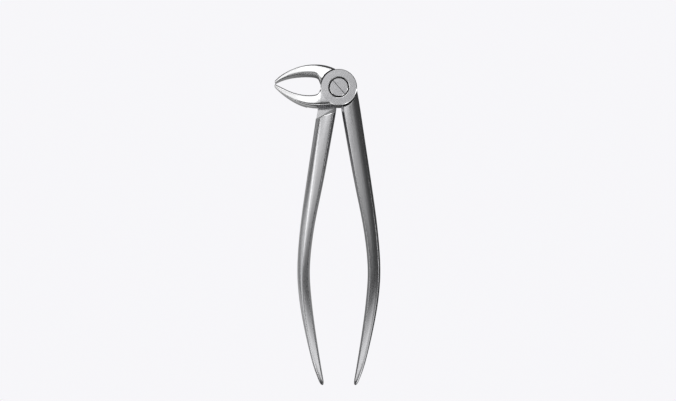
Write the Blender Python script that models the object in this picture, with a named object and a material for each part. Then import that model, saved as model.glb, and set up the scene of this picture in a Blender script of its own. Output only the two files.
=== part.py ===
"""Extraction forceps of the English lower pattern.

Two forged levers cross at a lap joint and turn on a slotted screw. The pivot axis is +Z, the
handles run down -Y and the beaks reach out along -X. The instrument lies flat, with the back of
its joint at z = 0. All lengths are in metres.
"""
import math

import bmesh
import bpy
import numpy as np
from mathutils import Vector

MM = 0.001

# Joint
DISC_RADIUS = 8.7 * MM
JOINT_DEPTH = 10.0 * MM
MID_DEPTH = JOINT_DEPTH / 2
LAP_LOW = 4.05 * MM                  # front face of the rear lever's half of the lap
LAP_HIGH = 4.37 * MM                 # back face of the front lever's half
CLEARANCE = 0.34 * MM                # between a disc and the concave shoulder around it

# Pivot screw and its holes
HEAD_RADIUS = 4.45 * MM
HEAD_HEIGHT = 2.3 * MM
HEAD_TOP = JOINT_DEPTH - 0.05 * MM
HEAD_CHAMFER = 0.25 * MM
JOURNAL_RADIUS = 2.9 * MM
JOURNAL_END = LAP_LOW + 0.35 * MM
THREAD_RADIUS = 2.45 * MM
SCREW_FIT = 0.35 * MM                # gap left all round the screw
SLOT_WIDTH = 0.5 * MM
SLOT_DEPTH = 1.0 * MM
SLOT_ANGLE = math.radians(-48.8)

# Handles, in mm: below the pivot, inner edge, outer edge, thickness. Both levers share them,
# mirrored.
HANDLE_STATIONS = [
    (-1.0, 2.0, 8.5, 7.4),
    (7.4, 1.0, 10.05, 7.5),
    (19.0, 2.75, 11.8, 7.5),
    (44.2, 7.3, 15.6, 7.0),
    (67.5, 12.0, 18.8, 6.5),
    (86.9, 14.1, 20.2, 6.2),
    (102.4, 13.25, 19.2, 5.9),
    (118.0, 11.3, 16.4, 5.4),
    (133.5, 8.85, 12.65, 4.5),
    (141.0, 7.55, 9.95, 3.5),
]
HANDLE_END = 143.6 * MM
# Half of a handle's cross-section: share of the width from the inner edge, share of the half depth
HANDLE_PROFILE = [(0.0, 0.42), (0.09, 0.86), (0.17, 1.0), (0.38, 1.0), (0.6, 0.92),
                  (0.79, 0.76), (1.0, 0.2)]

# Beaks, in mm: outer edge x and y, inner edge x and y, half depth, depth of the inner hollow
UPPER_BEAK = [
    (-0.3, 8.5, -2.5, 3.0, 4.8, 0.0),
    (-4.2, 10.25, -6.0, 1.2, 4.8, 0.0),
    (-8.0, 11.1, -8.95, 2.2, 4.8, 0.0),
    (-11.0, 11.25, -9.9, 5.0, 4.8, 0.15),
    (-14.5, 11.1, -12.6, 6.0, 4.75, 0.35),
    (-19.0, 10.25, -17.8, 6.05, 4.4, 0.55),
    (-24.0, 8.4, -23.2, 5.4, 3.7, 0.5),
    (-28.4, 5.95, -27.6, 4.1, 2.8, 0.35),
    (-31.05, 3.55, -30.9, 2.5, 2.0, 0.1),
]
LOWER_BEAK = [
    (-0.8, -8.5, -2.5, -3.0, 5.0, 0.0),
    (-5.0, -9.3, -6.5, -1.0, 5.0, 0.0),
    (-8.6, -9.5, -8.95, -0.6, 5.0, 0.0),
    (-11.4, -9.45, -9.6, -2.6, 5.0, 0.15),
    (-14.9, -9.0, -12.6, -3.5, 4.8, 0.35),
    (-19.3, -7.65, -17.6, -3.3, 4.4, 0.55),
    (-24.2, -5.0, -23.0, -1.8, 3.7, 0.5),
    (-28.5, -1.75, -27.4, 0.35, 2.8, 0.35),
    (-31.15, 0.8, -30.9, 2.15, 2.0, 0.1),
]
# Half of a beak's cross-section: share of the width from its softer edge, share of the half depth.
# The softer edge is the upper beak's inner one and the lower beak's outer one.
BEAK_PROFILE = [(0.0, 0.68), (0.07, 0.86), (0.18, 0.97), (0.3, 1.0), (0.93, 1.0), (1.0, 0.88)]
HOLLOW_DEPTH_SHARE = 0.4             # share of the half depth over which the hollow is deepest

# Where the levers pass each other
OPENING = math.radians(22)
SHOULDER_TILT = math.radians(17.9)   # slant of the shoulder across the rear lever's handle
SHOULDER_REACH = 10.4 * MM           # its distance from the pivot axis
SHOULDER_LENGTH = 32.0 * MM          # longer than the handle is wide
NECK_TOP = 2.0                       # mm below the pivot, where the neck's room begins
NECK_FOOT = 22.0                     # mm below the pivot, where it ends
NECK_INNER = 2.0 * MM
NECK_CLEARANCE = 0.4 * MM

# How finely the solids are made
ROUND_SEGMENTS = 72
HANDLE_SLICES = 30
END_SLICES = 4
END_ANGLE = math.radians(80)         # how far round a handle's end cap goes
BEAK_SLICES = 22
NECK_SLICES = 10
OVERCUT = 1.0 * MM                   # how far a cutter reaches past what it cuts
WELD = 0.002 * MM
SMOOTH_BELOW = math.radians(32)


def clear_scene():
    """Remove whatever objects the open file has."""
    for old in list(bpy.data.objects):
        bpy.data.objects.remove(old, do_unlink=True)


def metal(name, colour, roughness):
    """Return a bare metal."""
    material = bpy.data.materials.new(name)
    material.use_nodes = True
    shader = material.node_tree.nodes["Principled BSDF"]
    shader.inputs["Base Color"].default_value = (*colour, 1.0)
    shader.inputs["Metallic"].default_value = 1.0
    shader.inputs["Roughness"].default_value = roughness
    return material


def add_object(name, mesh_builder):
    """Turn a bmesh into an object with its faces pointing out."""
    bmesh.ops.recalc_face_normals(mesh_builder, faces=mesh_builder.faces)
    mesh = bpy.data.meshes.new(name)
    mesh_builder.to_mesh(mesh)
    mesh_builder.free()
    made = bpy.data.objects.new(name, mesh)
    bpy.context.scene.collection.objects.link(made)
    return made


def loft(name, rings):
    """Skin closed rings of points and cap both ends."""
    builder = bmesh.new()
    loops = [[builder.verts.new(point) for point in ring] for ring in rings]
    count = len(loops[0])
    for near, far in zip(loops, loops[1:]):
        for i in range(count):
            j = (i + 1) % count
            builder.faces.new((near[i], near[j], far[j], far[i]))
    builder.faces.new(loops[0])
    builder.faces.new(loops[-1])
    return add_object(name, builder)


def prism(name, outline, low, high):
    """Stand a flat outline up between two heights."""
    return loft(name, [[Vector((x, y, z)) for x, y in outline] for z in (low, high)])


def circle(radius, segments=ROUND_SEGMENTS):
    """Points of a circle about the pivot axis."""
    turn = 2 * math.pi / segments
    return [(radius * math.cos(i * turn), radius * math.sin(i * turn)) for i in range(segments)]


def cylinder(name, radius, low, high):
    """Upright cylinder about the pivot axis."""
    return prism(name, circle(radius), low, high)


def smooth_rows(stations, count):
    """Resample rows of numbers along a Catmull-Rom curve through them."""
    rows = np.array(stations, dtype=float)
    rows = np.vstack([2 * rows[0] - rows[1], rows, 2 * rows[-1] - rows[-2]])
    samples = []
    for place in np.linspace(0, len(stations) - 1, count):
        i = min(int(place), len(stations) - 2)
        t = place - i
        before, start, end, after = rows[i:i + 4]
        samples.append(0.5 * (2 * start + (end - before) * t
                              + (2 * before - 5 * start + 4 * end - after) * t ** 2
                              + (3 * start - before - 3 * end + after) * t ** 3))
    return samples


def closed_profile(half):
    """Complete a half cross-section with its mirror image in depth."""
    return half + [(across, -depth) for across, depth in reversed(half)]


def handle_ring(below, inner, outer, half_depth, side):
    """Cross-section of a handle, on the side of the pivot given by its sign."""
    return [Vector((side * (inner + across * (outer - inner)), -below,
                    MID_DEPTH + depth * half_depth))
            for across, depth in closed_profile(HANDLE_PROFILE)]


def build_handle(name, side):
    """Loft one handle, with a rounded end."""
    rows = [row * MM for row in smooth_rows(HANDLE_STATIONS, HANDLE_SLICES)]
    rings = [handle_ring(below, inner, outer, depth / 2, side)
             for below, inner, outer, depth in rows]
    below, inner, outer, depth = rows[-1]
    lean = (rows[-1] - rows[-2]) / (rows[-1][0] - rows[-2][0])
    centre_slope = (lean[1] + lean[2]) / 2
    for step in range(1, END_SLICES + 1):
        angle = END_ANGLE * step / END_SLICES
        further = (HANDLE_END - below) * math.sin(angle)
        centre = (inner + outer) / 2 + centre_slope * further
        half_width = (outer - inner) / 2 * math.cos(angle)
        rings.append(handle_ring(below + further, centre - half_width, centre + half_width,
                                 depth / 2 * math.cos(angle), side))
    return loft(name, rings)


def beak_ring(profile, outer, inner, half_depth, hollow):
    """Cross-section of a beak between its outer and inner edges."""
    across = outer - inner
    inwards = hollow / across.length
    outline = closed_profile(profile) + [(inwards, -HOLLOW_DEPTH_SHARE),
                                         (inwards, HOLLOW_DEPTH_SHARE)]
    return [Vector((*(inner + share * across), MID_DEPTH + depth * half_depth))
            for share, depth in outline]


def build_beak(name, stations, profile):
    """Loft one beak through its stations, root to tip."""
    rings = []
    for row in smooth_rows(stations, BEAK_SLICES):
        outer_x, outer_y, inner_x, inner_y, half_depth, hollow = (row * MM).tolist()
        rings.append(beak_ring(profile, Vector((outer_x, outer_y)), Vector((inner_x, inner_y)),
                               min(half_depth, MID_DEPTH), max(hollow, 0.0)))
    return loft(name, rings)


def combine(base, others, operation):
    """Join solids to the base or cut them out of it, and drop them."""
    for other in others:
        boolean = base.modifiers.new(other.name, "BOOLEAN")
        boolean.object = other
        boolean.operation = operation
        boolean.solver = "EXACT"
    depsgraph = bpy.context.evaluated_depsgraph_get()
    result = bpy.data.meshes.new_from_object(base.evaluated_get(depsgraph))
    base.modifiers.clear()
    base.data = result
    for other in others:
        bpy.data.objects.remove(other, do_unlink=True)


def finish(solid, material):
    """Clean the joins, shade the round faces smooth and give the solid its material."""
    builder = bmesh.new()
    builder.from_mesh(solid.data)
    bmesh.ops.remove_doubles(builder, verts=builder.verts, dist=WELD)
    bmesh.ops.dissolve_degenerate(builder, edges=builder.edges, dist=WELD)
    bmesh.ops.recalc_face_normals(builder, faces=builder.faces)
    builder.to_mesh(solid.data)
    builder.free()
    solid.data.name = solid.name
    solid.data.shade_smooth()
    solid.data.set_sharp_from_angle(angle=SMOOTH_BELOW)
    solid.data.materials.clear()
    solid.data.materials.append(material)


def rotated(point, angle):
    """Turn a flat point about the pivot axis."""
    x, y = point
    return (x * math.cos(angle) - y * math.sin(angle), x * math.sin(angle) + y * math.cos(angle))


def neck_sweep():
    """Outline swept by the rear lever's neck, seen from the front lever."""
    edge = [(-(outer * MM + NECK_CLEARANCE), -below * MM)
            for below, _, outer, _ in smooth_rows(HANDLE_STATIONS[:4], NECK_SLICES)
            if NECK_TOP < below < NECK_FOOT]
    opened = [rotated(point, -OPENING) for point in edge]
    return [(0.0, 0.0)] + opened + [(-NECK_INNER, -NECK_FOOT * MM)]


def shoulder_outline():
    """Area above the slanted shoulder, where the lower beak's root passes over the neck."""
    along = Vector((math.cos(SHOULDER_TILT), math.sin(SHOULDER_TILT)))
    away = Vector((math.sin(SHOULDER_TILT), -math.cos(SHOULDER_TILT)))
    middle, half = away * SHOULDER_REACH, SHOULDER_LENGTH / 2
    left, right = middle - along * half, middle + along * half
    return [tuple(left), tuple(right), tuple(right - away * half), tuple(left - away * half)]


def build_front_lever(material):
    """Lower beak, front half of the joint and right handle, with the counterbored hole."""
    above, below = JOINT_DEPTH + OVERCUT, -OVERCUT
    lever = cylinder("front_lever", DISC_RADIUS, LAP_HIGH, JOINT_DEPTH)
    handle = build_handle("handle", 1)
    beak = build_beak("beak", LOWER_BEAK, [(1.0 - share, depth)
                                           for share, depth in reversed(BEAK_PROFILE)])
    combine(lever, [handle, beak], "UNION")
    combine(lever, [
        cylinder("rear_disc_space", DISC_RADIUS + CLEARANCE, below, LAP_HIGH),
        prism("neck_space", neck_sweep(), below, LAP_HIGH),
        cylinder("bore", JOURNAL_RADIUS + SCREW_FIT, below, above),
        cylinder("counterbore", HEAD_RADIUS + SCREW_FIT, HEAD_TOP - HEAD_HEIGHT - SCREW_FIT,
                 above),
    ], "DIFFERENCE")
    finish(lever, material)
    return lever


def build_rear_lever(material):
    """Upper beak, rear half of the joint and left handle, with the screw's hole."""
    above, below = JOINT_DEPTH + OVERCUT, -OVERCUT
    lever = cylinder("rear_lever", DISC_RADIUS, 0.0, LAP_LOW)
    handle = build_handle("handle", -1)
    combine(handle, [prism("beak_passage", shoulder_outline(), LAP_LOW, above)], "DIFFERENCE")
    beak = build_beak("beak", UPPER_BEAK, BEAK_PROFILE)
    combine(beak, [cylinder("front_disc_space", DISC_RADIUS + CLEARANCE, LAP_LOW, above)],
            "DIFFERENCE")
    combine(lever, [handle, beak], "UNION")
    combine(lever, [cylinder("hole", THREAD_RADIUS + SCREW_FIT, below, above)], "DIFFERENCE")
    finish(lever, material)
    return lever


def build_screw(material):
    """Slotted shoulder screw, turned about the pivot axis."""
    head_seat = HEAD_TOP - HEAD_HEIGHT
    profile = [(THREAD_RADIUS, 0.0), (THREAD_RADIUS, JOURNAL_END), (JOURNAL_RADIUS, JOURNAL_END),
               (JOURNAL_RADIUS, head_seat), (HEAD_RADIUS, head_seat),
               (HEAD_RADIUS, HEAD_TOP - HEAD_CHAMFER), (HEAD_RADIUS - HEAD_CHAMFER, HEAD_TOP)]
    rings = [[Vector((x, y, z)) for x, y in circle(radius)] for radius, z in profile]
    screw = loft("pivot_screw", rings)
    half_length, half_width = HEAD_RADIUS + OVERCUT, SLOT_WIDTH / 2
    corners = [(-half_length, -half_width), (half_length, -half_width),
               (half_length, half_width), (-half_length, half_width)]
    slot = [rotated(corner, SLOT_ANGLE) for corner in corners]
    combine(screw, [prism("slot", slot, HEAD_TOP - SLOT_DEPTH, HEAD_TOP + OVERCUT)],
            "DIFFERENCE")
    finish(screw, material)
    return screw


def main():
    """Build the forceps, closed."""
    clear_scene()
    lever_steel = metal("Satin stainless steel", (0.60, 0.60, 0.62), 0.32)
    screw_steel = metal("Ground stainless steel", (0.55, 0.55, 0.57), 0.25)
    build_front_lever(lever_steel)
    build_rear_lever(lever_steel)
    build_screw(screw_steel)


if __name__ == "__main__":
    main()
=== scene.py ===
"""Looks of a pair of dental extraction forceps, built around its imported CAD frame.

The instrument lies flat on a pale floor. +Z is the pivot axis, the handles run down -Y and the
beaks reach out along -X. Lengths are in metres.
"""

import logging
import math
from collections.abc import Callable, Sequence
from dataclasses import dataclass
from enum import Enum

import bmesh
import bpy
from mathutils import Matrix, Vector


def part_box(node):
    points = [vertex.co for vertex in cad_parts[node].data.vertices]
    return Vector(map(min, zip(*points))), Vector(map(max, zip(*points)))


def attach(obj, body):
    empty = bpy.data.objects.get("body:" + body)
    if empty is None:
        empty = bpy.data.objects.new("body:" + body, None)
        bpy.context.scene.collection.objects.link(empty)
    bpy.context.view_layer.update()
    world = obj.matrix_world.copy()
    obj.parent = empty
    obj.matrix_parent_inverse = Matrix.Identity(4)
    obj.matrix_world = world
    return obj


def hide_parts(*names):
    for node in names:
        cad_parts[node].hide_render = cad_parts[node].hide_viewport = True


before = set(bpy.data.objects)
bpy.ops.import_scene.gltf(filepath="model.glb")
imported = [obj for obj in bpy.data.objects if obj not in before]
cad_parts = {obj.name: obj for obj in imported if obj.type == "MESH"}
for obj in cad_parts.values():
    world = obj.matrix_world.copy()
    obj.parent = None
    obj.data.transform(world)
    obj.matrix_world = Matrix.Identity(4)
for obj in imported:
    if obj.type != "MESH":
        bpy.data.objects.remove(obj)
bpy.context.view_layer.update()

LOG = logging.getLogger("forceps")
MM = 0.001
Colour = tuple[float, float, float]

ROUND_STEPS = 160                   # faces round the pivot axis
OVERCUT = MM                        # how far a cutter reaches past what it cuts
TOUCHING = 0.01 * MM                # how near counts as on a surface
WELD = 0.001 * MM                   # corners of a new solid this near each other are one
CUT_WELD = 0.02 * MM                # and those of a cut solid
SLIVER = 0.01 * MM                  # shortest edge kept after a cut
BEVEL_WELD = 0.004 * MM             # corners this near each other after bevelling are one
BROKEN_ABOVE = math.radians(38)     # outside edges sharper than this are bevelled
SMOOTH_BELOW = math.radians(28)     # edges flatter than this are shaded smooth
CRISP_ABOVE = math.radians(9)       # round a flat face, edges sharper than this stay crisp
LEVEL = 0.9                         # a normal's upward part, above which a face lies level
UPRIGHT = 0.1                       # and below which it stands upright
CHAMFER = (0.8, 0.985)              # and between which a face of a disc or head is a chamfer
ROUNDING_LEVELS = 2                 # subdivisions of a coarse cage
NOISE_RANGE = (0.3, 0.7)            # where most values of a Noise Texture lie
RING_SCALE = 0.314                  # distance between a Wave Texture's rings at a Scale of 1


class Side(Enum):
    """Side of the pivot that a lever's handle is on."""

    LEFT = -1
    RIGHT = 1


class Edge(Enum):
    """Edge of a beak, seen from the gap between the beaks."""

    INNER = "inner"
    OUTER = "outer"


class Operation(Enum):
    """What a Boolean does with its second solid."""

    JOIN = "UNION"
    CUT = "DIFFERENCE"


# --------------------------------------------------------------------------- finishes


@dataclass(frozen=True)
class Noise:
    """A noise pattern: features per metre, scale along each axis, number of octaves, strength of
    the finer octaves, and angle about Z in radians."""

    scale: float
    axes: tuple[float, float, float] = (1.0, 1.0, 1.0)
    detail: float = 3.0
    roughness: float = 0.5
    turn: float = 0.0


@dataclass
class ShaderTree:
    """A material's node tree with shorthand for adding and wiring nodes."""

    material: bpy.types.Material

    @classmethod
    def named(cls, name: str) -> "ShaderTree":
        """Start a bare metal material.

        Args:
            name: the material's name.

        Returns:
            The tree, holding one metallic Principled shader.
        """
        material = bpy.data.materials.new(name)
        material.use_nodes = True
        tree = cls(material)
        tree.shader.inputs["Metallic"].default_value = 1.0
        return tree

    @property
    def shader(self) -> bpy.types.ShaderNode:
        """The Principled shader."""
        return self.material.node_tree.nodes["Principled BSDF"]

    def add(self, kind: str, **settings: object) -> bpy.types.ShaderNode:
        """Add a node.

        Args:
            kind: Blender's name of the node type.
            settings: node attributes to set.

        Returns:
            The new node.
        """
        node = self.material.node_tree.nodes.new(kind)
        for key, value in settings.items():
            setattr(node, key, value)
        return node

    def wire(self, source: bpy.types.NodeSocket, target: bpy.types.NodeSocket) -> None:
        """Link two sockets."""
        self.material.node_tree.links.new(source, target)

    def points(self, axes: tuple[float, float, float] = (1.0, 1.0, 1.0),
               turn: float = 0.0) -> bpy.types.NodeSocket:
        """Return Object coordinates, scaled and turned about Z.

        Args:
            axes: scale along each axis.
            turn: angle about Z in radians.

        Returns:
            A vector socket.
        """
        mapping = self.add("ShaderNodeMapping")
        mapping.inputs["Scale"].default_value = axes
        mapping.inputs["Rotation"].default_value = (0, 0, turn)
        self.wire(self.add("ShaderNodeTexCoord").outputs["Object"], mapping.inputs["Vector"])
        return mapping.outputs["Vector"]

    def noise(self, pattern: Noise) -> bpy.types.NodeSocket:
        """Return a noise value between 0 and 1.

        Args:
            pattern: the noise.

        Returns:
            A value socket.
        """
        node = self.add("ShaderNodeTexNoise")
        node.inputs["Scale"].default_value = pattern.scale
        node.inputs["Detail"].default_value = pattern.detail
        node.inputs["Roughness"].default_value = pattern.roughness
        self.wire(self.points(pattern.axes, pattern.turn), node.inputs["Vector"])
        return node.outputs["Fac"]

    def spread(self, noise: bpy.types.NodeSocket, low: float, high: float) -> bpy.types.NodeSocket:
        """Map most of a noise's values to a range.

        Args:
            noise: the noise value.
            low: low end of the range.
            high: high end of the range.

        Returns:
            A value socket.
        """
        node = self.add("ShaderNodeMapRange")
        numbers = (*NOISE_RANGE, low, high)
        for key, number in zip(("From Min", "From Max", "To Min", "To Max"), numbers):
            node.inputs[key].default_value = number
        self.wire(noise, node.inputs["Value"])
        return node.outputs["Result"]

    def blend(self, share: bpy.types.NodeSocket, dark: Colour,
              light: Colour) -> bpy.types.NodeSocket:
        """Blend two colours.

        Args:
            share: the second colour's share, 0 to 1.
            dark: the first colour.
            light: the second colour.

        Returns:
            A colour socket.
        """
        node = self.add("ShaderNodeMix", data_type="RGBA")
        node.inputs["A"].default_value = (*dark, 1.0)
        node.inputs["B"].default_value = (*light, 1.0)
        self.wire(share, node.inputs["Factor"])
        return node.outputs["Result"]

    def bump(self, height: bpy.types.NodeSocket, distance: float, strength: float,
             under: bpy.types.NodeSocket | None) -> bpy.types.NodeSocket:
        """Return a normal bumped by a height.

        Args:
            height: the relief, 0 to 1.
            distance: depth of the relief in metres.
            strength: how much of it shows.
            under: a normal to bump on top of, or None.

        Returns:
            A normal socket.
        """
        node = self.add("ShaderNodeBump")
        node.inputs["Distance"].default_value = distance
        node.inputs["Strength"].default_value = strength
        self.wire(height, node.inputs["Height"])
        if under is not None:
            self.wire(under, node.inputs["Normal"])
        return node.outputs["Normal"]


@dataclass(frozen=True)
class Steel:
    """A bare steel finish: clouds of two tones, and a grain that sets its roughness, given as low
    and high, and its relief, given as depth and strength."""

    name: str
    dark: Colour
    light: Colour
    clouds: Noise
    grain: Noise
    roughness: tuple[float, float]
    relief: tuple[float, float]

    def under(self, tree: ShaderTree) -> bpy.types.NodeSocket | None:
        """Return the normal below the grain: here the surface's own."""
        return None

    def build(self) -> bpy.types.Material:
        """Make the material.

        Returns:
            The material.
        """
        tree = ShaderTree.named(self.name)
        sockets = tree.shader.inputs
        tree.wire(tree.blend(tree.noise(self.clouds), self.dark, self.light),
                  sockets["Base Color"])
        grain = tree.noise(self.grain)
        tree.wire(tree.spread(grain, *self.roughness), sockets["Roughness"])
        tree.wire(tree.bump(grain, *self.relief, self.under(tree)), sockets["Normal"])
        return tree.material


@dataclass(frozen=True)
class SatinSteel(Steel):
    """Stainless steel with a fine satin finish."""

    name: str = "satin_steel"
    dark: Colour = (0.50, 0.50, 0.515)
    light: Colour = (0.60, 0.60, 0.612)
    clouds: Noise = Noise(90.0, (1.0, 0.35, 1.0), 4.0)
    grain: Noise = Noise(5200.0, (1.0, 0.18, 1.0), 3.0, 0.6)
    roughness: tuple[float, float] = (0.17, 0.25)
    relief: tuple[float, float] = (0.004 * MM, 0.3)


@dataclass(frozen=True)
class MirrorSteel(Steel):
    """Polished stainless steel with faint polishing marks."""

    name: str = "mirror_steel"
    dark: Colour = (0.86, 0.86, 0.87)
    light: Colour = (0.93, 0.93, 0.935)
    clouds: Noise = Noise(160.0)
    grain: Noise = Noise(4200.0, (0.12, 1.0, 1.0), 2.0, turn=math.radians(14))
    roughness: tuple[float, float] = (0.07, 0.13)
    relief: tuple[float, float] = (0.001 * MM, 0.25)


@dataclass(frozen=True)
class TurnedSteel(Steel):
    """Satin steel with fine rings about the pivot, left by facing it on a lathe."""

    name: str = "turned_steel"
    dark: Colour = (0.44, 0.44, 0.455)
    light: Colour = (0.52, 0.52, 0.532)
    clouds: Noise = Noise(140.0, detail=4.0)
    grain: Noise = Noise(4200.0, detail=2.0)
    roughness: tuple[float, float] = (0.22, 0.30)
    relief: tuple[float, float] = (0.005 * MM, 0.3)
    anisotropy: float = 0.25
    ring_pitch: float = 0.16 * MM
    ring_relief: tuple[float, float] = (0.005 * MM, 0.2)
    waviness: tuple[float, float, float] = (1.2, 2.0, 40.0)

    def under(self, tree: ShaderTree) -> bpy.types.NodeSocket | None:
        """Add the rings.

        Args:
            tree: the material's nodes.

        Returns:
            The ringed normal.
        """
        tree.shader.inputs["Anisotropic"].default_value = self.anisotropy
        rings = tree.add("ShaderNodeTexWave", wave_type="RINGS", rings_direction="Z")
        rings.inputs["Scale"].default_value = RING_SCALE / self.ring_pitch
        for key, number in zip(("Distortion", "Detail", "Detail Scale"), self.waviness):
            rings.inputs[key].default_value = number
        tree.wire(tree.points(), rings.inputs["Vector"])
        return tree.bump(rings.outputs["Fac"], *self.ring_relief, None)


@dataclass(frozen=True)
class ShadedMilledSteel(Steel):
    """Dull steel with cutter marks, painted near black as the shade that falls in a slot, a bore or a
    groove.
    """

    name: str = "milled_steel_painted_shade"
    dark: Colour = (0.05, 0.05, 0.05)
    light: Colour = (0.16, 0.16, 0.165)
    clouds: Noise = Noise(900.0)
    grain: Noise = Noise(6500.0, (1.0, 1.0, 0.2), 3.0, 0.6)
    roughness: tuple[float, float] = (0.45, 0.65)
    relief: tuple[float, float] = (0.01 * MM, 0.4)


# --------------------------------------------------------------------------- mesh tools


def smooth_rows(stations: Sequence[Sequence[float]], per_gap: int) -> list[list[float]]:
    """Resample rows of numbers along a Catmull-Rom curve through them.

    Args:
        stations: the rows.
        per_gap: samples from one row to the next.

    Returns:
        The rows with the samples between them.
    """
    first = [2 * a - b for a, b in zip(stations[0], stations[1])]
    last = [2 * a - b for a, b in zip(stations[-1], stations[-2])]
    rows = [first, *stations, last]
    made: list[list[float]] = []
    for i in range(len(stations) - 1):
        for step in range(per_gap):
            t = step / per_gap
            made.append([
                0.5 * (2 * b + (c - a) * t + (2 * a - 5 * b + 4 * c - d) * t ** 2
                       + (3 * b - a - 3 * c + d) * t ** 3)
                for a, b, c, d in zip(*rows[i:i + 4])])
    made.append(list(stations[-1]))
    return made


def whole_profile(half: Sequence[tuple[float, float]]) -> list[tuple[float, float]]:
    """Complete a half cross-section with its mirror image in depth."""
    return [*half, *((across, -depth) for across, depth in reversed(half))]


def skin(name: str, rings: Sequence[Sequence[Vector]]) -> bpy.types.Object:
    """Extrude a closed ring from section to section and cap both ends.

    Args:
        name: the object's name.
        rings: the cross-sections, all with the same number of points.

    Returns:
        The closed solid.
    """
    mesh = bmesh.new()
    place = mesh.verts.layers.int.new("place")
    made = bmesh.ops.create_circle(mesh, segments=len(rings[0]), radius=MM)
    for i, vert in enumerate(made["verts"]):
        vert[place] = i
        vert.co = rings[0][i]
    edges = list(mesh.edges)
    bmesh.ops.edgeloop_fill(mesh, edges=edges)
    for ring in rings[1:]:
        step = bmesh.ops.extrude_edge_only(mesh, edges=edges)["geom"]
        edges = [item for item in step if isinstance(item, bmesh.types.BMEdge)]
        for vert in (item for item in step if isinstance(item, bmesh.types.BMVert)):
            vert.co = ring[vert[place]]
    bmesh.ops.edgeloop_fill(mesh, edges=edges)
    mesh.verts.layers.int.remove(place)
    return as_object(name, mesh)


def revolve(name: str, profile: Sequence[tuple[float, float]]) -> bpy.types.Object:
    """Spin a closed profile about the pivot axis.

    Args:
        name: the object's name.
        profile: radius and height of its corners, in order.

    Returns:
        The closed solid.
    """
    mesh = bmesh.new()
    verts = [mesh.verts.new((radius, 0.0, height)) for radius, height in profile]
    edges = [mesh.edges.new((a, b)) for a, b in zip(verts, verts[1:] + verts[:1])]
    bmesh.ops.spin(mesh, geom=verts + edges, cent=(0, 0, 0), axis=(0, 0, 1),
                   angle=2 * math.pi, steps=ROUND_STEPS, use_merge=True, use_duplicate=False)
    return as_object(name, mesh)


def post(name: str, outline: Sequence[tuple[float, float]], low: float,
         high: float) -> bpy.types.Object:
    """Stand a flat outline up between two heights."""
    return skin(name, [[Vector((x, y, z)) for x, y in outline] for z in (low, high)])


def rod(name: str, radius: float, low: float, high: float) -> bpy.types.Object:
    """Make an upright cylinder about the pivot axis.

    Args:
        name: the object's name.
        radius: its radius.
        low: height of its foot.
        high: height of its top.

    Returns:
        The closed solid.
    """
    turn = 2 * math.pi / ROUND_STEPS
    outline = [(radius * math.cos(i * turn), radius * math.sin(i * turn))
               for i in range(ROUND_STEPS)]
    return post(name, outline, low, high)


def as_object(name: str, mesh: bmesh.types.BMesh) -> bpy.types.Object:
    """Turn a bmesh into an object with its faces pointing out.

    Args:
        name: the object's name.
        mesh: the bmesh, which is used up.

    Returns:
        The object, in the scene.
    """
    bmesh.ops.remove_doubles(mesh, verts=mesh.verts, dist=WELD)
    bmesh.ops.recalc_face_normals(mesh, faces=mesh.faces)
    data = bpy.data.meshes.new(name)
    mesh.to_mesh(data)
    mesh.free()
    made = bpy.data.objects.new(name, data)
    bpy.context.scene.collection.objects.link(made)
    return made


def settle(solid: bpy.types.Object) -> None:
    """Make a solid's modifiers part of its mesh.

    Args:
        solid: the solid.
    """
    depsgraph = bpy.context.evaluated_depsgraph_get()
    result = bpy.data.meshes.new_from_object(solid.evaluated_get(depsgraph))
    solid.modifiers.clear()
    solid.data = result


def rounded(cage: bpy.types.Object) -> bpy.types.Object:
    """Smooth a coarse cage by subdivision.

    Args:
        cage: the cage.

    Returns:
        The same object, now smooth.
    """
    modifier = cage.modifiers.new("rounding", "SUBSURF")
    modifier.levels = modifier.render_levels = ROUNDING_LEVELS
    settle(cage)
    return cage


def combine(base: bpy.types.Object, others: Sequence[bpy.types.Object],
            operation: Operation) -> None:
    """Join solids to a base or cut them out of it.

    Args:
        base: the solid to change.
        others: the solids to join or cut out, which are used up.
        operation: which of the two to do.
    """
    for other in others:
        modifier = base.modifiers.new(other.name, "BOOLEAN")
        modifier.object = other
        modifier.operation = operation.value
        modifier.solver = "EXACT"
    settle(base)
    for other in others:
        bpy.data.objects.remove(other, do_unlink=True)


def edit(solid: bpy.types.Object, change: Callable[[bmesh.types.BMesh], None]) -> None:
    """Change a solid's mesh.

    Args:
        solid: the solid.
        change: what to do to its bmesh.
    """
    mesh = bmesh.new()
    mesh.from_mesh(solid.data)
    change(mesh)
    mesh.to_mesh(solid.data)
    mesh.free()


def soften_cuts(solid: bpy.types.Object, width: float) -> None:
    """Clean up after a cut and break its sharp outside edges.

    Args:
        solid: the solid.
        width: width of the broken edge.
    """
    def change(mesh: bmesh.types.BMesh) -> None:
        """Clean and bevel the bmesh."""
        bmesh.ops.remove_doubles(mesh, verts=mesh.verts, dist=CUT_WELD)
        bmesh.ops.dissolve_degenerate(mesh, edges=mesh.edges, dist=SLIVER)
        sharp = [edge for edge in mesh.edges
                 if edge.is_manifold and edge.calc_face_angle_signed() > BROKEN_ABOVE]
        bmesh.ops.bevel(mesh, geom=sharp, offset=width, offset_type="OFFSET", segments=2,
                        profile=0.5, affect="EDGES", clamp_overlap=False, material=-1,
                        loop_slide=True)
        bmesh.ops.remove_doubles(mesh, verts=mesh.verts, dist=BEVEL_WELD)

    edit(solid, change)


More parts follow.
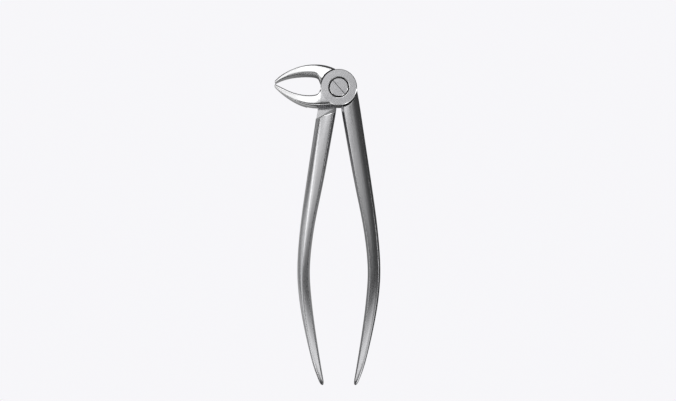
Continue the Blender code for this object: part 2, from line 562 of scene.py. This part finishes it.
def shade(solid: bpy.types.Object, flat_height: float) -> None:
    """Shade a solid smooth, keeping its sharper edges.

    Args:
        solid: the solid.
        flat_height: height of a flat face whose border stays crisp.
    """
    solid.data.shade_smooth()
    solid.data.set_sharp_from_angle(angle=SMOOTH_BELOW)

    def crisp(mesh: bmesh.types.BMesh) -> None:
        """Mark the border of the flat face."""
        for edge in mesh.edges:
            level = all(abs(vert.co.z - flat_height) < TOUCHING for vert in edge.verts)
            if level and edge.is_manifold and edge.calc_face_angle() > CRISP_ABOVE:
                edge.smooth = False

    edit(solid, crisp)


def on_chamfer(face: bpy.types.MeshPolygon) -> bool:
    """Say whether a face of a disc or head is a chamfer, by how steeply it slopes."""
    return CHAMFER[0] < face.normal.z < CHAMFER[1]


# --------------------------------------------------------------------------- the forceps


@dataclass
class Joint:
    """The lap joint: a front disc and a rear one that share its depth and turn on the screw. Inside a
    radius, a lever is nothing but its disc. The counterbore is milled below its chamfered mouth, and
    painted near black there as shade."""

    disc_radius: float = 8.7 * MM
    depth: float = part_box("front_lever")[1][2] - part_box("rear_lever")[0][2]
    lap_low: float = 4.14 * MM
    lap_high: float = 4.28 * MM
    clearance: float = 0.32 * MM
    edge: float = 0.26 * MM
    chamfer: float = 0.3 * MM
    mouth_chamfer: float = 0.2 * MM
    chamfer_drop: float = 0.15 * MM
    bend: float = 0.06 * MM
    bore: float = 3.1 * MM
    counterbore: float = 4.84 * MM
    counterbore_depth: float = 2.6 * MM
    # below this depth from the top, the counterbore is painted near black as shade
    painted_shade_below: float = 0.25 * MM
    tapped_hole: float = 2.5 * MM
    relief_foot: float = 7.9 * MM
    relief_width: float = 0.8 * MM
    inside: float = 6.4 * MM

    @property
    def middle(self) -> float:
        """Height of the instrument's middle plane."""
        return self.depth / 2

    def front_disc(self) -> bpy.types.Object:
        """Make the front disc with its counterbored hole.

        Returns:
            The disc.
        """
        top, radius, wide = self.depth, self.disc_radius, self.counterbore
        floor, bend = top - self.counterbore_depth, self.bend
        rim = [(radius, top - self.chamfer_drop - 2 * bend),
               (radius - bend, top - self.chamfer_drop), (radius - self.chamfer, top)]
        mouth = [(wide + self.mouth_chamfer, top), (wide + bend / 2, top - self.chamfer_drop),
                 (wide, top - self.chamfer_drop - bend)]
        return revolve("front_disc", [(self.bore, self.lap_high), (radius, self.lap_high),
                                      *rim, *mouth, (wide, floor), (self.bore, floor)])

    def relief(self) -> bpy.types.Object:
        """Make the cutter for the slanted relief where the handle meets the front disc.

        Returns:
            The cutter.
        """
        near, far = self.disc_radius - self.edge, self.disc_radius + self.relief_width
        return revolve("relief", [(near, self.relief_foot), (self.disc_radius, self.relief_foot),
                                  (far, self.relief_foot + self.relief_width),
                                  (far, self.depth + OVERCUT), (near, self.depth + OVERCUT)])

    def rear_disc(self) -> bpy.types.Object:
        """Make the rear disc with its tapped hole and a quarter-round edge.

        Returns:
            The disc.
        """
        radius, edge = self.disc_radius, self.edge
        corner = [(radius - edge * (1 - math.sin(angle)), edge * (1 - math.cos(angle)))
                  for angle in map(math.radians, (0.0, 22.5, 45.0, 67.5, 90.0))]
        return revolve("rear_disc", [
            (self.tapped_hole, 0.0), *corner, (radius, self.lap_low),
            (self.tapped_hole, self.lap_low)])


@dataclass
class Handle:
    """A bowed handle. Its stations say, in millimetres: below the pivot, inner edge, outer edge,
    thickness. A ridge for each says at what share of the width the outer bevel starts. The profile
    is half a cross-section: share of the width, share of the half depth. The cap rounds off the
    end: millimetres beyond the last station, share of its size."""

    side: Side
    middle: float
    ridges: tuple[float, ...]
    stations: tuple[tuple[float, float, float, float], ...] = (
        (-1.0, 2.0, 8.5, 7.4),
        (7.4, 1.0, 10.05, 7.5),
        (19.0, 2.75, 11.8, 7.5),
        (44.2, 7.3, 15.6, 7.0),
        (67.5, 12.0, 18.8, 6.5),
        (86.9, 14.1, 20.2, 6.2),
        (102.4, 13.25, 19.2, 5.9),
        (118.0, 11.3, 16.4, 5.4),
        (133.5, 8.85, 12.65, 4.5),
        (141.0, 7.55, 9.95, 3.5),
    )
    profile: tuple[tuple[float, float], ...] = (
        (0.0, 0.26), (0.0, 0.42), (0.02, 0.55), (0.09, 0.86), (0.125, 0.965), (0.17, 1.0),
        (0.34, 1.0), (0.43, 0.992), (0.53, 0.962), (0.63, 0.908), (0.73, 0.828),
        (0.785, 0.77), (0.815, 0.705), (0.96, 0.34), (1.0, 0.18))
    usual_ridge: float = 0.785
    cap: tuple[tuple[float, float], ...] = ((1.2, 0.88), (2.0, 0.66), (2.45, 0.4), (2.6, 0.18))
    rings_per_station: int = 3

    def ring(self, below: float, inner: float, outer: float, thickness: float,
             ridge: float) -> list[Vector]:
        """Place one cross-section.

        Args:
            below: distance below the pivot.
            inner: distance of the inner edge from the middle line.
            outer: distance of the outer edge from it.
            thickness: depth of the handle.
            ridge: share of the width at which the outer bevel starts.

        Returns:
            Its corners.
        """
        usual = self.usual_ridge
        points = []
        for across, depth in whole_profile(self.profile):
            if across <= usual:
                share = across * ridge / usual
            else:
                share = ridge + (across - usual) * (1 - ridge) / (1 - usual)
            points.append(Vector((self.side.value * (inner + share * (outer - inner)) * MM,
                                  -below * MM, self.middle + depth * thickness / 2 * MM)))
        return points

    def solid(self) -> bpy.types.Object:
        """Make the handle, with a rounded end.

        Returns:
            The closed solid.
        """
        rows = smooth_rows([(*row, ridge) for row, ridge in zip(self.stations, self.ridges)],
                           self.rings_per_station)
        rings = [self.ring(*row) for row in rows]
        below, inner, outer, thickness, ridge = rows[-1]
        before = rows[-2]
        slope = (inner + outer - before[1] - before[2]) / 2 / (below - before[0])
        for further, share in self.cap:
            centre = (inner + outer) / 2 + slope * further
            half = (outer - inner) / 2 * share
            rings.append(self.ring(below + further, centre - half, centre + half,
                                   thickness * share, ridge))
        return rounded(skin("handle", rings))


@dataclass
class Beak:
    """A hollowed beak. Its stations say, in millimetres: outer edge x and y, inner edge x and y,
    half depth, depth of the hollow. The profile is half a cross-section, from the softly rounded
    edge to the crisp one: share of the width, share of the half depth. The crisp edge starts where
    the flat ends and is never narrower than its width, in millimetres. The floor of the hollow is
    given as share of the hollow's depth, share of the half depth."""

    middle: float
    soft_edge: Edge
    stations: tuple[tuple[float, float, float, float, float, float], ...]
    profile: tuple[tuple[float, float], ...] = (
        (0.0, 0.5), (0.0, 0.64), (0.03, 0.76), (0.08, 0.86), (0.155, 0.945), (0.235, 0.987),
        (0.32, 1.0), (0.6, 1.002), (0.81, 1.0), (0.865, 0.985), (0.91, 0.88), (0.97, 0.74),
        (1.0, 0.58), (1.0, 0.4))
    flat_end: float = 0.81
    crisp_width: float = 0.77
    hollow_floor: tuple[tuple[float, float], ...] = ((0.8, -0.4), (1.0, 0.0), (0.8, 0.4))
    rings_per_station: int = 2
    last_ring: float = 0.12

    def ring(self, outer_x: float, outer_y: float, inner_x: float, inner_y: float,
             half_depth: float, hollow: float) -> list[Vector]:
        """Place one cross-section.

        Args:
            outer_x: the outer edge's x.
            outer_y: its y.
            inner_x: the inner edge's x.
            inner_y: its y.
            half_depth: half the beak's depth.
            hollow: depth of the hollow in its inner side.

        Returns:
            Its corners.
        """
        outer, inner = Vector((outer_x, outer_y)), Vector((inner_x, inner_y))
        across = outer - inner
        share = max(hollow, 0.0) / across.length
        stretch = max(1.0, self.crisp_width / ((1.0 - self.flat_end) * across.length))
        bend = 1.0 - (1.0 - self.flat_end) * stretch
        half = [(along * bend / self.flat_end if along <= self.flat_end
                 else 1.0 - (1.0 - along) * stretch, depth) for along, depth in self.profile]
        if self.soft_edge is Edge.OUTER:
            half = [(1.0 - along, depth) for along, depth in reversed(half)]
        outline = [*whole_profile(half),
                   *((part * share, depth) for part, depth in self.hollow_floor)]
        return [Vector((*((inner + along * across) * MM),
                        self.middle + depth * min(half_depth * MM, self.middle)))
                for along, depth in outline]

    def solid(self) -> bpy.types.Object:
        """Make the beak, with a ring close to its tip that keeps the tip's edge crisp.

        Returns:
            The closed solid.
        """
        rows = smooth_rows(self.stations, self.rings_per_station)
        tip, before = rows[-1], rows[-2]
        rows.insert(-1, [a + self.last_ring * (b - a) for a, b in zip(tip, before)])
        return rounded(skin("beak", [self.ring(*row) for row in rows]))


@dataclass
class Lever:
    """What both levers share: a disc, a handle and a beak forged in one."""

    joint: Joint
    satin: bpy.types.Material
    mirror: bpy.types.Material
    turned: bpy.types.Material
    # the dark milled finish, painted near black as shade in slots, bores and grooves
    shaded_milled: bpy.types.Material

    def polished(self, place: Vector) -> bool:
        """Say whether a face at this place is polished."""
        raise NotImplementedError

    def finish(self, face: bpy.types.MeshPolygon) -> bpy.types.Material:
        """Choose a face's finish.

        Args:
            face: the face.

        Returns:
            Its material.
        """
        if face.center.xy.length < self.joint.disc_radius + CUT_WELD:
            return self.mirror if on_chamfer(face) else self.turned
        if self.polished(face.center):
            return self.mirror
        return self.satin

    def dress(self, solid: bpy.types.Object) -> None:
        """Give each face its finish.

        Args:
            solid: the lever's solid.
        """
        finishes = [self.satin, self.mirror, self.turned, self.shaded_milled]
        solid.data.materials.clear()
        for material in finishes:
            solid.data.materials.append(material)
        for face in solid.data.polygons:
            face.material_index = finishes.index(self.finish(face))


@dataclass
class FrontLever(Lever):
    """Lower beak, front half of the joint and right handle."""

    beak_rows: tuple[tuple[float, float, float, float, float, float], ...] = (
        (-0.8, -8.5, -2.5, -3.0, 5.0, 0.0),
        (-5.0, -9.3, -6.5, -1.0, 5.0, 0.0),
        (-8.6, -9.5, -8.95, -0.6, 5.0, 0.0),
        (-11.4, -9.45, -9.6, -2.6, 5.0, 0.15),
        (-14.9, -9.0, -12.6, -3.5, 4.8, 0.35),
        (-19.3, -7.65, -17.6, -3.3, 4.4, 0.55),
        (-24.2, -5.0, -23.0, -1.8, 3.7, 0.5),
        (-28.5, -1.75, -27.4, 0.35, 2.8, 0.35),
        (-31.15, 0.8, -30.9, 2.15, 2.0, 0.1),
    )
    ridges: tuple[float, ...] = (0.86,) * 10
    polish_line: float = -8.85 * MM
    broken_edge: float = 0.12 * MM
    neck_room: tuple[tuple[float, float], ...] = (
        (0.0, 0.0), (-9.9 * MM, 0.9 * MM), (-12.3 * MM, -3.3 * MM), (-16.6 * MM, -10.6 * MM),
        (-2.0 * MM, -22.0 * MM))

    def polished(self, place: Vector) -> bool:
        """The beak is polished, left of a line beside the disc."""
        return place.x < self.polish_line

    def finish(self, face: bpy.types.MeshPolygon) -> bpy.types.Material:
        """Choose a face's finish: the counterbore and the relief get the dark milled finish, painted
        near black as the shade that falls in them.

        Args:
            face: the face.

        Returns:
            Its material.
        """
        joint, reach, height = self.joint, face.center.xy.length, face.center.z
        in_bore = (reach < joint.counterbore + TOUCHING
                   and height < joint.depth - joint.painted_shade_below)
        in_relief = (CUT_WELD < reach - joint.disc_radius < joint.relief_width
                     and height > joint.relief_foot - TOUCHING
                     and face.center.x > 0 and face.normal.z < LEVEL)
        # faces down in the counterbore and the relief groove are painted near black as shade
        return self.shaded_milled if in_bore or in_relief else super().finish(face)

    def build(self) -> bpy.types.Object:
        """Make the lever.

        Returns:
            The finished piece.
        """
        joint = self.joint
        above, below = joint.depth + OVERCUT, -OVERCUT
        arms = Handle(Side.RIGHT, joint.middle, self.ridges).solid()
        combine(arms, [joint.relief()], Operation.CUT)
        beak = Beak(joint.middle, Edge.OUTER, self.beak_rows).solid()
        combine(arms, [beak], Operation.JOIN)
        combine(arms, [
            rod("rear_disc_room", joint.disc_radius + joint.clearance, below, joint.lap_high),
            post("neck_room", self.neck_room, below, joint.lap_high),
            rod("middle", joint.inside, below, above),
        ], Operation.CUT)
        lever = joint.front_disc()
        combine(lever, [arms], Operation.JOIN)
        soften_cuts(lever, self.broken_edge)
        edit(lever, self.split_at_polish)
        shade(lever, joint.depth)
        self.dress(lever)
        lever.name = lever.data.name = "front_lever_forging"
        return lever

    def split_at_polish(self, mesh: bmesh.types.BMesh) -> None:
        """Add edges where the polish begins."""
        bmesh.ops.bisect_plane(mesh, geom=[*mesh.verts, *mesh.edges, *mesh.faces],
                               plane_co=(self.polish_line, 0, 0), plane_no=(1, 0, 0))


@dataclass
class RearLever(Lever):
    """Upper beak, rear half of the joint and left handle."""

    beak_rows: tuple[tuple[float, float, float, float, float, float], ...] = (
        (-0.3, 8.5, -2.5, 3.0, 4.8, 0.0),
        (-4.2, 10.25, -6.0, 1.2, 4.8, 0.0),
        (-8.0, 11.1, -8.95, 2.2, 4.8, 0.0),
        (-11.0, 11.25, -9.9, 5.0, 4.8, 0.15),
        (-14.5, 11.1, -12.6, 6.0, 4.75, 0.35),
        (-19.0, 10.25, -17.8, 6.05, 4.4, 0.55),
        (-24.0, 8.4, -23.2, 5.4, 3.7, 0.5),
        (-28.4, 5.95, -27.6, 4.1, 2.8, 0.35),
        (-31.05, 3.55, -30.9, 2.5, 2.0, 0.1),
    )
    ridges: tuple[float, ...] = (0.785, 0.785, 0.78, 0.72, 0.67, 0.68, 0.74, 0.82, 0.85, 0.85)
    shoulder_tilt: float = math.radians(17.9)
    shoulder_reach: float = 10.4 * MM
    slope_length: float = 0.5 * MM
    slope_drop: float = 0.17 * MM
    slope_bend: float = 0.06 * MM
    polish_line: float = -1.0 * MM
    broken_edge: float = 0.08 * MM
    passage_reach: float = 16 * MM
    top_half: float = 1.0 * MM

    def polished(self, place: Vector) -> bool:
        """Say whether a place is on the beak, above the handle, or on the shoulder's sloped edge.

        Args:
            place: the middle of a face.

        Returns:
            Whether it is polished.
        """
        beyond = place.x * math.sin(self.shoulder_tilt) - place.y * math.cos(self.shoulder_tilt)
        on_slope = TOUCHING < beyond - self.shoulder_reach < self.slope_length
        on_top = place.z > self.joint.middle + self.top_half
        return place.y > self.polish_line or (on_slope and on_top)

    def beak_passage(self) -> list[tuple[float, float]]:
        """Outline the room above the slanted shoulder, where the other beak's root passes.

        Returns:
            Its corners.
        """
        along = Vector((math.cos(self.shoulder_tilt), math.sin(self.shoulder_tilt)))
        away = Vector((along.y, -along.x))
        middle, reach = away * self.shoulder_reach, self.passage_reach
        corners = (middle - along * reach, middle + along * reach,
                   middle + along * reach - away * reach, middle - along * reach - away * reach)
        return [(corner.x, corner.y) for corner in corners]

    def build(self) -> bpy.types.Object:
        """Make the lever.

        Returns:
            The finished piece.
        """
        joint = self.joint
        above, below = joint.depth + OVERCUT, -OVERCUT
        arms = Handle(Side.LEFT, joint.middle, self.ridges).solid()
        combine(arms, [post("passage", self.beak_passage(), joint.lap_low, above)],
                Operation.CUT)
        edit(arms, self.slope_shoulder)
        beak = Beak(joint.middle, Edge.INNER, self.beak_rows).solid()
        combine(beak, [rod("front_disc_room", joint.disc_radius + joint.clearance,
                           joint.lap_low, above)], Operation.CUT)
        combine(arms, [beak], Operation.JOIN)
        combine(arms, [rod("middle", joint.inside, below, above)], Operation.CUT)
        lever = joint.rear_disc()
        combine(lever, [arms], Operation.JOIN)
        soften_cuts(lever, self.broken_edge)
        shade(lever, 0.0)
        self.dress(lever)
        lever.name = lever.data.name = "rear_lever_forging"
        return lever

    def slope_shoulder(self, mesh: bmesh.types.BMesh) -> None:
        """Slope the top of the handle down to the edge of the shoulder.

        Args:
            mesh: the handle's bmesh.
        """
        away = Vector((math.sin(self.shoulder_tilt), -math.cos(self.shoulder_tilt), 0.0))
        for behind in (0.0, self.slope_bend):
            bmesh.ops.bisect_plane(
                mesh, geom=[*mesh.verts, *mesh.edges, *mesh.faces], plane_no=away,
                plane_co=away * (self.shoulder_reach + self.slope_length + behind))
        edge = [vert for vert in mesh.verts if vert.co.z > self.joint.middle + self.top_half
                and abs(vert.co.dot(away) - self.shoulder_reach) < TOUCHING]
        bmesh.ops.translate(mesh, verts=edge, vec=(0, 0, -self.slope_drop))


@dataclass
class PivotScrew:
    """The slotted screw, its head all but flush in the counterbore and its end at the back."""

    joint: Joint
    mirror: bpy.types.Material
    turned: bpy.types.Material
    # the dark milled finish, painted near black as the shade in the slot and round the head
    shaded_milled: bpy.types.Material
    head_radius: float = 4.36 * MM
    head_height: float = 2.3 * MM
    chamfer: float = 0.18 * MM
    chamfer_drop: float = 0.09 * MM
    bend: float = 0.05 * MM
    end_recess: float = 0.02 * MM
    journal_radius: float = 3.0 * MM
    thread_radius: float = 2.46 * MM
    slot_width: float = 0.28 * MM
    slot_depth: float = 1.0 * MM
    slot_angle: float = math.radians(-48.8)

    def outline(self, top: float) -> list[tuple[float, float]]:
        """List the corners to turn the screw from.

        Args:
            top: height of its head's face.

        Returns:
            Their radii and heights.
        """
        seat, lap = top - self.head_height, self.joint.lap_high
        return [(0.0, self.end_recess), (self.thread_radius, self.end_recess),
                (self.thread_radius, lap), (self.journal_radius, lap),
                (self.journal_radius, seat), (self.head_radius, seat),
                (self.head_radius, top - self.chamfer_drop - 2 * self.bend),
                (self.head_radius - self.bend, top - self.chamfer_drop),
                (self.head_radius - self.chamfer, top), (0.0, top)]

    def build(self) -> bpy.types.Object:
        """Make the screw.

        Returns:
            The finished piece.
        """
        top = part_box("pivot_screw")[1][2]
        screw = revolve("pivot_screw_turned", self.outline(top))
        half_length, half_width = self.head_radius + OVERCUT, self.slot_width / 2
        turn = (math.cos(self.slot_angle), math.sin(self.slot_angle))
        outline = [(x * turn[0] - y * turn[1], x * turn[1] + y * turn[0])
                   for x, y in ((-half_length, -half_width), (half_length, -half_width),
                                (half_length, half_width), (-half_length, half_width))]
        combine(screw, [post("slot", outline, top - self.slot_depth, top + OVERCUT)],
                Operation.CUT)
        shade(screw, top)
        self.dress(screw, top, Vector((-turn[1], turn[0])))
        return screw

    def dress(self, screw: bpy.types.Object, top: float, across: Vector) -> None:
        """Give each face its finish.

        Args:
            screw: the screw's solid.
            top: height of its head's face.
            across: direction across the slot.
        """
        finishes = [self.turned, self.shaded_milled, self.mirror]
        screw.data.materials.clear()
        for finish in finishes:
            screw.data.materials.append(finish)
        for face in screw.data.polygons:
            place = face.center
            in_slot = (abs(place.xy.dot(across)) < self.slot_width / 2 + TOUCHING
                       and top - self.slot_depth - TOUCHING < place.z < top - TOUCHING)
            on_side = (abs(face.normal.z) < UPRIGHT and place.z > top - self.head_height
                       and place.xy.length > self.head_radius - self.bend)
            # the slot and the head's side, down in the counterbore, are painted near black as shade
            if in_slot or on_side:
                chosen = self.shaded_milled
            else:
                chosen = self.mirror if on_chamfer(face) else self.turned
            face.material_index = finishes.index(chosen)


# --------------------------------------------------------------------------- studio


@dataclass(frozen=True)
class Softbox:
    """A panel that hangs level, at a height above the middle of the instrument. Its bounds are
    angles from straight up, in degrees, as seen from there: across from -X to +X, along from -Y to
    +Y."""

    name: str
    across: tuple[float, float]
    along: tuple[float, float]
    radiance: float
    height: float = 1.0

    def build(self, centre: Vector) -> None:
        """Hang the panel.

        Args:
            centre: the middle of the instrument.
        """
        west, east = (self.height * math.tan(math.radians(angle)) for angle in self.across)
        south, north = (self.height * math.tan(math.radians(angle)) for angle in self.along)
        light = bpy.data.lights.new(self.name, "AREA")
        light.shape = "RECTANGLE"
        light.size, light.size_y = east - west, north - south
        light.energy = math.pi * light.size * light.size_y * self.radiance
        lamp = bpy.data.objects.new(self.name, light)
        lamp.location = centre + Vector(((west + east) / 2, (south + north) / 2, self.height))
        lamp.visible_camera = False
        bpy.context.scene.collection.objects.link(lamp)


@dataclass(frozen=True)
class Glow:
    """How bright a surface is when the steel reflects it: brightest round a centre. Its stops are
    distances from the centre, nearest first, with the brightness there."""

    coordinate: str
    centre: tuple[float, float, float]
    stops: tuple[tuple[float, float], ...]

    def build(self, tree: bpy.types.NodeTree) -> bpy.types.NodeSocket:
        """Add its nodes.

        Args:
            tree: the floor's or the world's node tree.

        Returns:
            A colour socket.
        """
        points = tree.nodes.new("ShaderNodeTexCoord")
        away = tree.nodes.new("ShaderNodeVectorMath")
        away.operation = "DISTANCE"
        away.inputs[1].default_value = self.centre
        tree.links.new(points.outputs[self.coordinate], away.inputs[0])
        first, last = self.stops[0][0], self.stops[-1][0]
        span = tree.nodes.new("ShaderNodeMapRange")
        span.inputs["From Min"].default_value = first
        span.inputs["From Max"].default_value = last
        tree.links.new(away.outputs["Value"], span.inputs["Value"])
        ramp = tree.nodes.new("ShaderNodeValToRGB")
        for distance, _ in self.stops[1:-1]:
            ramp.color_ramp.elements.new((distance - first) / (last - first))
        for element, (_, glow) in zip(ramp.color_ramp.elements, self.stops):
            element.color = (glow, glow, glow, 1.0)
        tree.links.new(span.outputs["Result"], ramp.inputs["Fac"])
        return ramp.outputs["Color"]


@dataclass
class Studio:
    """Pale floor, soft light and the camera straight above."""

    joint: Joint
    pale: Colour = (0.93, 0.925, 0.95)
    floor_glow: Glow = Glow("Object", (-0.13, -0.09, 0.0),
                            ((0.08, 0.7), (0.128, 0.34), (0.155, 0.07)))
    room_glow: Glow = Glow("Generated", (-1.0, 0.0, 0.0),
                           ((0.0, 0.3), (0.5, 0.1), (1.4, 0.07)))
    floor_reach: float = 3.0
    floor_gap: float = 0.02 * MM
    camera_height: float = 0.3188
    camera_below: float = 0.05417
    camera_across: float = -0.4 * MM
    lens: float = 35.0
    panels: tuple[Softbox, ...] = (
        Softbox("main_low", (-23, -1), (-5, 8), 0.64),
        Softbox("main_high", (-23, -1.8), (8, 11), 1.08),
        Softbox("left", (-40, -23), (-5, 11), 1.05),
        Softbox("strip", (-50, -40), (-5, 19), 2.1),
        Softbox("near_up", (-16, 3), (11, 19), 1.7),
        Softbox("mid_up", (-40, -16), (11, 19), 0.95),
        Softbox("upper", (-31, 9), (19, 32), 0.8),
        Softbox("top", (-45, 9), (32, 50), 1.7),
        Softbox("fill_middle", (-1, 9), (-5, 11), 0.5),
        Softbox("fill_right", (9, 20), (0, 32), 0.4),
        Softbox("fill_far", (20, 30), (0, 32), 0.1),
        Softbox("right_wall", (62, 72), (-24, 12), 2.5),
        Softbox("left_wall", (-80, -50), (-34, 25), 0.75),
        Softbox("foot", (-45, 40), (-47, -35.3), 1.15, 0.15),
        Softbox("foot_near", (-45, 40), (-35.3, -29), 0.6, 0.15),
        Softbox("foot_left", (-80, -40), (-50, -34), 1.42),
        Softbox("foot_right", (38, 78), (-50, -24), 0.6),
        Softbox("foot_far_right", (35, 78), (-78, -50), 1.5),
    )

    def shown_and_reflected(self, tree: bpy.types.NodeTree, kind: str, output: str,
                            glow: Glow) -> None:
        """Fill a node tree with a surface that is pale to look at and dimmer in reflections.

        Args:
            tree: the floor's or the world's node tree.
            kind: Blender's name of the glowing shader node.
            output: Blender's name of the output node.
            glow: brightness of its reflection.
        """
        tree.nodes.clear()
        shown, reflected = tree.nodes.new(kind), tree.nodes.new(kind)
        shown.inputs["Color"].default_value = (*self.pale, 1.0)
        tree.links.new(glow.build(tree), reflected.inputs["Color"])
        rays, mix = tree.nodes.new("ShaderNodeLightPath"), tree.nodes.new("ShaderNodeMixShader")
        tree.links.new(rays.outputs["Is Camera Ray"], mix.inputs["Fac"])
        tree.links.new(reflected.outputs[0], mix.inputs[1])
        tree.links.new(shown.outputs[0], mix.inputs[2])
        tree.links.new(mix.outputs["Shader"], tree.nodes.new(output).inputs["Surface"])

    def floor(self) -> None:
        """Lay the floor, evenly lit so that it carries no shadow."""
        mesh = bmesh.new()
        bmesh.ops.create_grid(mesh, x_segments=1, y_segments=1, size=self.floor_reach)
        bmesh.ops.translate(mesh, verts=mesh.verts, vec=(0, 0, -self.floor_gap))
        ground = as_object("floor", mesh)
        material = bpy.data.materials.new("pale_floor")
        material.use_nodes = True
        self.shown_and_reflected(material.node_tree, "ShaderNodeEmission",
                                 "ShaderNodeOutputMaterial", self.floor_glow)
        ground.data.materials.append(material)

    def world(self) -> None:
        """Surround the set."""
        world = bpy.data.worlds.new("studio")
        bpy.context.scene.world = world
        world.use_nodes = True
        self.shown_and_reflected(world.node_tree, "ShaderNodeBackground",
                                 "ShaderNodeOutputWorld", self.room_glow)

    def camera(self) -> None:
        """Set the camera straight above the instrument."""
        data = bpy.data.cameras.new("camera")
        data.lens = self.lens
        data.clip_start = MM
        camera = bpy.data.objects.new("camera", data)
        camera.location = (self.camera_across, -self.camera_below,
                           self.joint.middle + self.camera_height)
        bpy.context.scene.collection.objects.link(camera)
        bpy.context.scene.camera = camera

    def build(self) -> None:
        """Set up the studio."""
        bpy.context.scene.view_settings.view_transform = "Standard"
        self.floor()
        self.world()
        self.camera()
        centre = Vector((0.0, -self.camera_below, self.joint.middle))
        for panel in self.panels:
            panel.build(centre)


def main() -> None:
    """Build the looks of the forceps and its studio."""
    logging.basicConfig(level=logging.INFO, format="%(name)s: %(message)s")
    joint = Joint()
    Studio(joint).build()
    finishes = [kind().build() for kind in (SatinSteel, MirrorSteel, TurnedSteel, ShadedMilledSteel)]
    pieces = (
        (FrontLever(joint, *finishes).build(), "front_lever", "front_lever"),
        (RearLever(joint, *finishes).build(), "rear_lever", "rear_lever"),
        (PivotScrew(joint, *finishes[1:]).build(), "rear_lever", "pivot_screw"),
    )
    for piece, body, node in pieces:
        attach(piece, body)
        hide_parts(node)
        LOG.info("%s rides on %s: %d faces", piece.name, body, len(piece.data.polygons))


if __name__ == "__main__":
    main()
